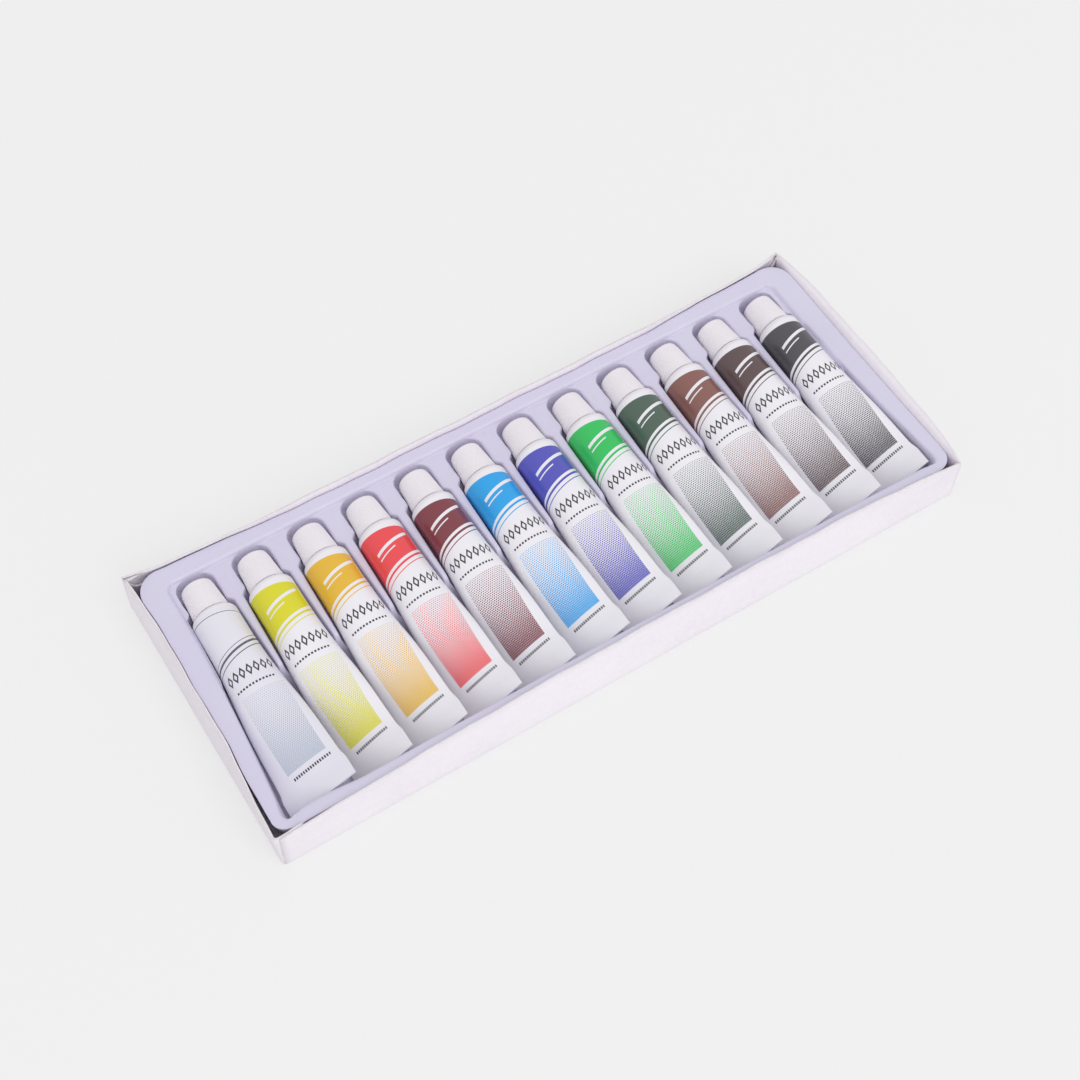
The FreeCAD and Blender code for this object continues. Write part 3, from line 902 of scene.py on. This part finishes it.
def lathe(profile, count):
    """Points and faces of a closed profile of radius and place along Y, turned about the tube's axis."""
    points, rows = [], []
    for radius, y in profile:
        if radius == 0:
            rows.append([len(points)] * count)
            points.append((0.0, y, 0.0))
            continue
        rows.append(list(range(len(points), len(points) + count)))
        turns = [2 * math.pi * (step + 0.5) / count for step in range(count)]
        points += [(radius * math.cos(turn), y, radius * math.sin(turn)) for turn in turns]
    faces = []
    for row, other in zip(rows, rows[1:] + rows[:1]):
        for step in range(count):
            after = (step + 1) % count
            face = tuple(dict.fromkeys((row[step], other[step], other[after], row[after])))
            if len(face) > 2:
                faces.append(face)
    return points, faces


def arc(centre_radius, centre_y, radius, start, end, count):
    """Profile points along an arc, angles in degrees from straight out."""
    turns = [math.radians(start + (end - start) * step / count) for step in range(count + 1)]
    return [(centre_radius + radius * math.cos(turn), centre_y + radius * math.sin(turn)) for turn in turns]


shoulder_height = 2.0
shoulder_top = shoulder_y + shoulder_height
head_wall = 1.1
plug_radius = 6.32
plug_depth = 3.0
plug_bore = plug_radius - head_wall
plug_end = shoulder_y - plug_depth
neck_radius = 3.0
neck_end = head_high.y
neck_edge = 0.3
outlet_radius = 1.1
moulding_crease = 35
head_profile = [(plug_bore, shoulder_y), (plug_bore, plug_end)]
head_profile += [(plug_radius, plug_end), (plug_radius, shoulder_y)]
head_profile += arc(tube_radius - shoulder_height, shoulder_y, shoulder_height, 0, 90, 10)
head_profile += [(neck_radius, shoulder_top), (neck_radius, neck_end - neck_edge),
                 (neck_radius - neck_edge, neck_end), (outlet_radius, neck_end),
                 (outlet_radius, shoulder_top - head_wall)]
head_points, head_faces = lathe(head_profile, 72)
for colour in colours:
    points = np.array(head_points) + tube_places[colour]
    head = mesh_piece(colour + "_moulded_head", points, head_faces, [head_finish], moulding_crease)
    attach(head, "tube_" + colour)
    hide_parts(colour + "_head")

# The screw caps: white mouldings with a slight taper, fine ribs for grip and a rounded end. Each turns on
# its tube's neck, and a stopper inside its top closes the outlet.
cap_finish = mottled_finish("cap_moulding", linear(240, 236, 241), linear(238, 233, 239), clouds=140.0,
                            grain=2000.0, share=0.3, roughness=0.5, spread=0.1, bump=0.02)
rib_rise = 0.08
skirt_radius = cap_radius - rib_rise
top_radius = 4.67
mouth_edge = 0.12
end_round = 0.9
cap_top_wall = 1.2
bore_radius = 3.25
bore_end = cap_end - cap_top_wall
stopper_radius, stopper_length = 0.95, 1.3
stopper_end = bore_end - stopper_length
top_ring = 2.0
cap_profile = [(bore_radius, bore_end), (bore_radius, cap_start), (skirt_radius - mouth_edge, cap_start)]
cap_profile += [(skirt_radius, cap_start + mouth_edge), (top_radius, cap_end - end_round)]
cap_profile += arc(top_radius - end_round, cap_end - end_round, end_round, 0, 90, 8)[1:]
cap_profile += [(top_ring, cap_end), (0.0, cap_end), (0.0, stopper_end), (stopper_radius, stopper_end),
                (stopper_radius, bore_end)]
cap_points, cap_faces = lathe(cap_profile, 96)
cap_shape = mesh_piece("cap_shape", cap_points, cap_faces, [cap_finish], moulding_crease)

# One rib along the side of the cap, drawn at the top and repeated round the axis
rib_count = 64
rib_half, rib_top_half = 0.11, 0.055
rib_sink = 0.03
rib_crease = 30
rib_start, rib_length = cap_start + 0.45, cap_end - cap_start - 1.5
rib_fade_in, rib_fade_out = 0.06, 0.9
taper = (top_radius - skirt_radius) / (cap_end - cap_start - end_round)
rib_points = []
rib_shares = np.linspace(0.0, 1.0, 9)
for share in rib_shares:
    y = rib_start + rib_length * share
    side = skirt_radius + taper * (y - cap_start)
    height = rib_rise * smooth(0.0, rib_fade_in, share) * (1 - smooth(rib_fade_out, 1.0, share))
    rib_points += [(-rib_half, y, side - rib_sink), (-rib_top_half, y, side + height),
                   (rib_top_half, y, side + height), (rib_half, y, side - rib_sink)]
rib_shape = mesh_piece("rib_shape", rib_points, grid_faces(len(rib_shares), 4), [cap_finish], rib_crease)
rib_nodes = bpy.data.node_groups.new("ribs_round_axis", "GeometryNodeTree")
rib_nodes.interface.new_socket("Geometry", in_out="INPUT", socket_type="NodeSocketGeometry")
rib_inputs = {}
for name, kind in (("Rib", "NodeSocketObject"), ("Count", "NodeSocketInt"), ("Finish", "NodeSocketMaterial")):
    rib_inputs[name] = rib_nodes.interface.new_socket(name, in_out="INPUT", socket_type=kind).identifier
rib_nodes.interface.new_socket("Geometry", in_out="OUTPUT", socket_type="NodeSocketGeometry")
given = rib_nodes.nodes.new("NodeGroupInput")
result = rib_nodes.nodes.new("NodeGroupOutput")
spots = add_node(rib_nodes, "GeometryNodePoints", Count=given.outputs["Count"])
index = rib_nodes.nodes.new("GeometryNodeInputIndex")
turn_step = calc(rib_nodes, "DIVIDE", 2 * math.pi, given.outputs["Count"])
turn = calc(rib_nodes, "MULTIPLY", index.outputs[0], turn_step)
facing = add_node(rib_nodes, "ShaderNodeCombineXYZ", Y=turn)
rib_info = add_node(rib_nodes, "GeometryNodeObjectInfo", Object=given.outputs["Rib"])
ribs = add_node(rib_nodes, "GeometryNodeInstanceOnPoints", Points=spots.outputs[0],
                Instance=rib_info.outputs["Geometry"], Rotation=facing.outputs[0])
joined = rib_nodes.nodes.new("GeometryNodeJoinGeometry")
rib_nodes.links.new(ribs.outputs[0], joined.inputs[0])
rib_nodes.links.new(given.outputs["Geometry"], joined.inputs[0])
real = add_node(rib_nodes, "GeometryNodeRealizeInstances", Geometry=joined.outputs[0])
coated = add_node(rib_nodes, "GeometryNodeSetMaterial", Geometry=real.outputs[0],
                  Material=given.outputs["Finish"])
rib_nodes.links.new(coated.outputs[0], result.inputs[0])
ribbing = cap_shape.modifiers.new("ribs", "NODES")
ribbing.node_group = rib_nodes
ribbing[rib_inputs["Rib"]] = rib_shape
ribbing[rib_inputs["Count"]] = rib_count
ribbing[rib_inputs["Finish"]] = cap_finish
ribbed = bpy.data.meshes.new_from_object(cap_shape.evaluated_get(bpy.context.evaluated_depsgraph_get()))
cap_shape.modifiers.remove(ribbing)
bpy.data.objects.remove(cap_shape)
bpy.data.objects.remove(rib_shape)
for colour in colours:
    mesh = ribbed.copy()
    mesh.transform(Matrix.Translation(tube_places[colour] * MM))
    cap = bpy.data.objects.new(colour + "_ribbed_cap", mesh)
    bpy.context.scene.collection.objects.link(cap)
    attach(cap, "cap_" + colour)
    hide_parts(colour + "_cap")

# The paint: a smooth wet paste in each tube's colour, which fills the sleeve behind its head. It takes the
# shape of the sleeve's inside, and thins out towards the seal.
paste_low, paste_high = mm_box("white_paint")
paste_clearance = 0.12
paste_inset = laminate + paste_clearance
paste_shade = 0.94
paste_ys = np.linspace(paste_high.y, paste_low.y, 26)
paste_faces = [tuple(range(ring_count))[::-1]]
paste_faces += [tuple(range((len(paste_ys) - 1) * ring_count, len(paste_ys) * ring_count))]
paste_faces += ring_faces(0, len(paste_ys))
for colour in colours:
    tint = (244, 243, 240) if colour == "white" else inks[colour]
    shade = [channel * paste_shade for channel in tint]
    paste = mottled_finish("paste_" + colour, linear(*tint), linear(*shade), clouds=150.0, grain=900.0,
                           share=0.3, roughness=0.45, spread=0.15, bump=0.2)
    rings = [sleeve_ring(y, paste_inset, tails[colour]) for y in paste_ys]
    points = np.concatenate(rings) + tube_places[colour]
    fill = mesh_piece(colour + "_paste", points, paste_faces, [paste], sleeve_crease)
    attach(fill, "tube_" + colour)
    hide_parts(colour + "_paint")

# The stage: a pale floor, soft light from a large lamp and the surroundings, and the camera where the
# photographer stood, high in front of the left end.
floor_finish = bpy.data.materials.new("pale_floor")
floor_finish.use_nodes = True
floor_shader = floor_finish.node_tree.nodes["Principled BSDF"]
floor_shader.inputs["Base Color"].default_value = linear(240, 240, 240)
floor_shader.inputs["Roughness"].default_value = 0.9
floor_shader.inputs["Specular IOR Level"].default_value = 0.0
# Over half of the floor's tone is its own, so that the shadow on it stays as faint as on a lit white table
own_tone = 0.55
floor_tree = floor_finish.node_tree
seen = add_node(floor_tree, "ShaderNodeLightPath")
shown = either(floor_tree, seen.outputs["Is Camera Ray"], seen.outputs["Is Glossy Ray"],
               seen.outputs["Is Transmission Ray"])
glow = add_node(floor_tree, "ShaderNodeEmission", Color=linear(242, 242, 242), Strength=1.0)
tone = add_node(floor_tree, "ShaderNodeMixShader", i0=calc(floor_tree, "MULTIPLY", shown, own_tone),
                i1=floor_shader.outputs[0], i2=glow.outputs[0])
floor_tree.links.new(tone.outputs[0], floor_tree.nodes["Material Output"].inputs["Surface"])
floor_half = 4000
floor_corners = [(hand_x * floor_half, hand_y * floor_half, 0)
                 for hand_x, hand_y in ((-1, -1), (1, -1), (1, 1), (-1, 1))]
floor = mesh_piece("floor", floor_corners, [(0, 1, 2, 3)], [floor_finish])

world = bpy.data.worlds.new("studio")
world.use_nodes = True
world.node_tree.nodes["Background"].inputs["Color"].default_value = (1.0, 1.0, 1.0, 1.0)
world.node_tree.nodes["Background"].inputs["Strength"].default_value = 0.75
bpy.context.scene.world = world


def soft_lamp(name, place, aim, size, strength):
    """A square lamp in metres that adds the given level to a white surface facing it at the aim."""
    lamp = bpy.data.lights.new(name, "AREA")
    lamp.shape = "SQUARE"
    lamp.size = size
    distance = Vector(aim) - Vector(place)
    lamp.energy = strength * math.pi ** 2 * distance.length_squared
    piece = bpy.data.objects.new(name, lamp)
    piece.location = place
    piece.rotation_mode = "QUATERNION"
    piece.rotation_quaternion = distance.to_track_quat("-Z", "Y")
    bpy.context.scene.collection.objects.link(piece)


soft_lamp("window", place=(0.1, -1.9, 2.4), aim=(0.0, 0.0, 0.0), size=2.8, strength=0.37)

# The camera's place and aim in metres, its lens and its slight roll are fitted to the photograph
camera = bpy.data.cameras.new("camera")
camera.sensor_width = 36.0
camera.lens = 63.82
camera_place = Vector((-0.15803, -0.23475, 0.47055))
camera_aim = Vector((-0.003325, 0.000017, 0.008))
camera_roll = math.radians(1.633)
camera_object = bpy.data.objects.new("camera", camera)
camera_object.location = camera_place
camera_object.rotation_mode = "QUATERNION"
camera_turn = (camera_aim - camera_place).to_track_quat("-Z", "Y")
camera_object.rotation_quaternion = camera_turn @ Quaternion((0, 0, 1), camera_roll)
bpy.context.scene.collection.objects.link(camera_object)
bpy.context.scene.camera = camera_object
bpy.context.scene.view_settings.view_transform = "Standard"
